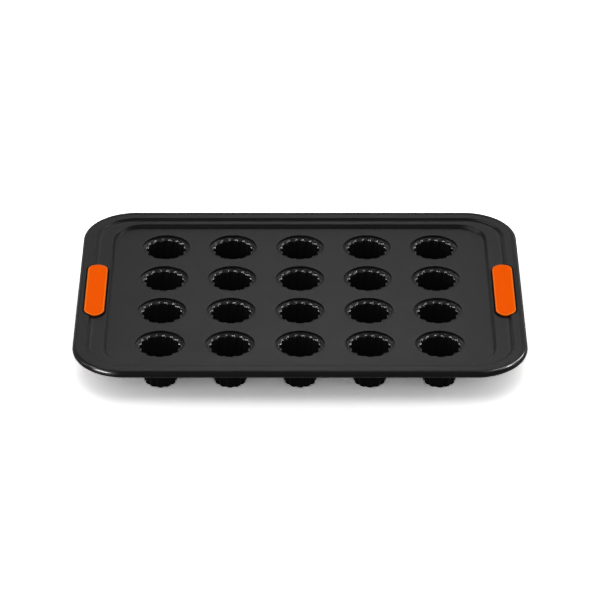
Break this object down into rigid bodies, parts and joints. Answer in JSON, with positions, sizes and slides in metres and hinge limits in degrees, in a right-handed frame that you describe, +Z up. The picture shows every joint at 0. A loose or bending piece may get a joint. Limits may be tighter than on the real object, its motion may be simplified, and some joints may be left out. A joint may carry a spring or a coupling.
{
  "type": "mini canele pan",
  "caption": "Rectangular baking tray with a stepped, rolled rim, a grid of deep fluted cups seamed into its flat floor and a soft grip set in the rim at each end.",
  "frame": {"origin": "middle of the bounding box on the plane that the feet of the cups stand on", "axes": "+X along the long side towards the right-hand grip, +Y from the pictured front to the back, +Z up out of the cups"},
  "size_m": [0.4, 0.2816, 0.0436],
  "materials": {
    "coated_tray": "dark grey satin nonstick coating on pressed steel",
    "coated_cup": "dark grey satin nonstick coating on pressed steel",
    "rim_wire": "plain drawn steel",
    "silicone_grip": "orange satin silicone"
  },
  "bodies": {
    "root": {"tray": "coated_tray", "rim_wire": "rim_wire", "cup_r1c1": "coated_cup", "cup_r1c2": "coated_cup", "cup_r1c3": "coated_cup", "cup_r1c4": "coated_cup", "cup_r1c5": "coated_cup", "cup_r2c1": "coated_cup", "cup_r2c2": "coated_cup", "cup_r2c3": "coated_cup", "cup_r2c4": "coated_cup", "cup_r2c5": "coated_cup", "cup_r3c1": "coated_cup", "cup_r3c2": "coated_cup", "cup_r3c3": "coated_cup", "cup_r3c4": "coated_cup", "cup_r3c5": "coated_cup", "cup_r4c1": "coated_cup", "cup_r4c2": "coated_cup", "cup_r4c3": "coated_cup", "cup_r4c4": "coated_cup", "cup_r4c5": "coated_cup", "grip_left": "silicone_grip", "grip_right": "silicone_grip"}
  },
  "joints": []
}
